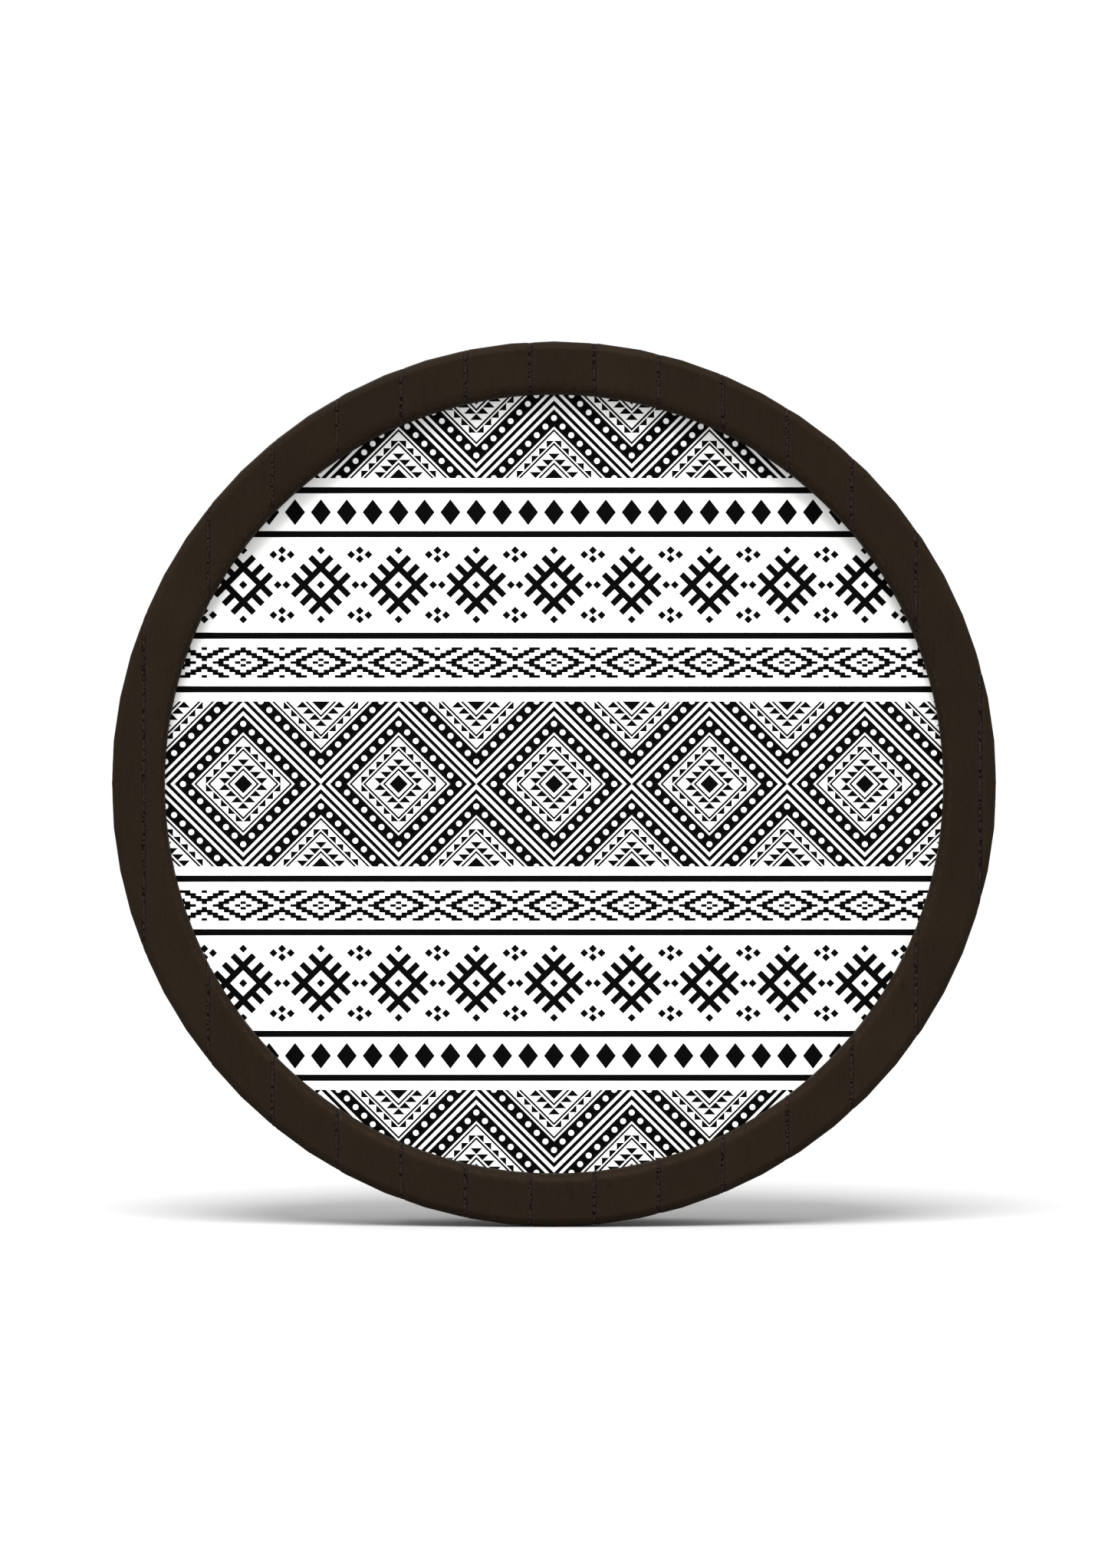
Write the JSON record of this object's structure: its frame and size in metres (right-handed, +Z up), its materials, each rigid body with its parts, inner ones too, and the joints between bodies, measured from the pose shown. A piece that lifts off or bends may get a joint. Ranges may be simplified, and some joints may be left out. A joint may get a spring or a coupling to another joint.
{
  "type": "frame drum",
  "caption": "Round hand-held frame drum with a dark board-built front ring, a white head printed with black geometric bands, tension rods and a crossed hand grip.",
  "frame": {"origin": "centre of the drum: on its axis, halfway through its depth", "axes": "+Y along the drum's axis, from the head to the open back; the head faces -Y; +Z up as it hangs"},
  "size_m": [0.46, 0.078, 0.46],
  "materials": {
    "board_wood": "dark brown stained hardwood, satin, fine grain and small cracks",
    "seam_filler": "dark brown glue and wood dust, rough",
    "plywood": "stained plywood, satin",
    "brass": "turned brass",
    "steel": "zinc-plated steel",
    "screw_steel": "zinc-plated steel screws",
    "film": "white coated drumhead film",
    "ink": "black screen-printed ink",
    "shell_wood": "brown stained bent wood, satin",
    "gasket": "black rubber",
    "chrome": "chromed",
    "bar_wood": "oiled hardwood",
    "leather": "brown leather strip, worn",
    "rubber": "black moulded rubber"
  },
  "bodies": {
    "frame": {"bar_brackets": "steel", "lug_washers": "steel", "rod_washers": "steel", "lug_screws": "screw_steel", "bracket_screws": "screw_steel", "bar_screws": "screw_steel", "centre_screw": "screw_steel", "drum_head": "film", "head_skirt": "film", "shell": "shell_wood", "stiffener_ring": "shell_wood", "lug_gaskets": "gasket", "lugs": "chrome", "level_bar": "bar_wood", "upright_bar": "bar_wood", "grip_wrap": "leather", "thumb_grommet": "rubber"},
    "hoop": {"board_01": "board_wood", "board_02": "board_wood", "board_03_top": "board_wood", "board_03_bottom": "board_wood", "board_04_top": "board_wood", "board_04_bottom": "board_wood", "board_05_top": "board_wood", "board_05_bottom": "board_wood", "board_06_top": "board_wood", "board_06_bottom": "board_wood", "board_07_top": "board_wood", "board_07_bottom": "board_wood", "board_08_top": "board_wood", "board_08_bottom": "board_wood", "board_09_top": "board_wood", "board_09_bottom": "board_wood", "board_10_top": "board_wood", "board_10_bottom": "board_wood", "board_11_top": "board_wood", "board_11_bottom": "board_wood", "board_12_top": "board_wood", "board_12_bottom": "board_wood", "board_13_top": "board_wood", "board_13_bottom": "board_wood", "board_14": "board_wood", "board_15": "board_wood", "seam_filler": "seam_filler", "backing_ring": "plywood", "threaded_inserts": "brass", "flesh_hoop": "steel"},
    "rod_1": {"tension_rod_1": "chrome"},
    "rod_2": {"tension_rod_2": "chrome"},
    "rod_3": {"tension_rod_3": "chrome"},
    "rod_4": {"tension_rod_4": "chrome"},
    "rod_5": {"tension_rod_5": "chrome"},
    "rod_6": {"tension_rod_6": "chrome"},
    "rod_7": {"tension_rod_7": "chrome"},
    "rod_8": {"tension_rod_8": "chrome"}
  },
  "joints": [
    {"name": "hoop_slide", "type": "slide", "parent": "frame", "child": "hoop", "axis": [0, -1, 0], "range_m": [-0.002, 0.006]},
    {"name": "rod_1_turn", "type": "hinge", "parent": "frame", "child": "rod_1", "pos_m": [0.20464, 0.0275, 0.08476], "axis": [0, 1, 0], "range_deg": [-725, 2165]},
    {"name": "rod_2_turn", "type": "hinge", "parent": "frame", "child": "rod_2", "pos_m": [0.08476, 0.0275, 0.20464], "axis": [0, 1, 0], "range_deg": [-725, 2165]},
    {"name": "rod_3_turn", "type": "hinge", "parent": "frame", "child": "rod_3", "pos_m": [-0.08476, 0.0275, 0.20464], "axis": [0, 1, 0], "range_deg": [-725, 2165]},
    {"name": "rod_4_turn", "type": "hinge", "parent": "frame", "child": "rod_4", "pos_m": [-0.20464, 0.0275, 0.08476], "axis": [0, 1, 0], "range_deg": [-725, 2165]},
    {"name": "rod_5_turn", "type": "hinge", "parent": "frame", "child": "rod_5", "pos_m": [-0.20464, 0.0275, -0.08476], "axis": [0, 1, 0], "range_deg": [-725, 2165]},
    {"name": "rod_6_turn", "type": "hinge", "parent": "frame", "child": "rod_6", "pos_m": [-0.08476, 0.0275, -0.20464], "axis": [0, 1, 0], "range_deg": [-725, 2165]},
    {"name": "rod_7_turn", "type": "hinge", "parent": "frame", "child": "rod_7", "pos_m": [0.08476, 0.0275, -0.20464], "axis": [0, 1, 0], "range_deg": [-725, 2165]},
    {"name": "rod_8_turn", "type": "hinge", "parent": "frame", "child": "rod_8", "pos_m": [0.20464, 0.0275, -0.08476], "axis": [0, 1, 0], "range_deg": [-725, 2165]}
  ],
  "couplings": [
    {"joint": "rod_1_turn", "follows": "hoop_slide", "rad_per_m": 6283.2},
    {"joint": "rod_2_turn", "follows": "hoop_slide", "rad_per_m": 6283.2},
    {"joint": "rod_3_turn", "follows": "hoop_slide", "rad_per_m": 6283.2},
    {"joint": "rod_4_turn", "follows": "hoop_slide", "rad_per_m": 6283.2},
    {"joint": "rod_5_turn", "follows": "hoop_slide", "rad_per_m": 6283.2},
    {"joint": "rod_6_turn", "follows": "hoop_slide", "rad_per_m": 6283.2},
    {"joint": "rod_7_turn", "follows": "hoop_slide", "rad_per_m": 6283.2},
    {"joint": "rod_8_turn", "follows": "hoop_slide", "rad_per_m": 6283.2}
  ]
}
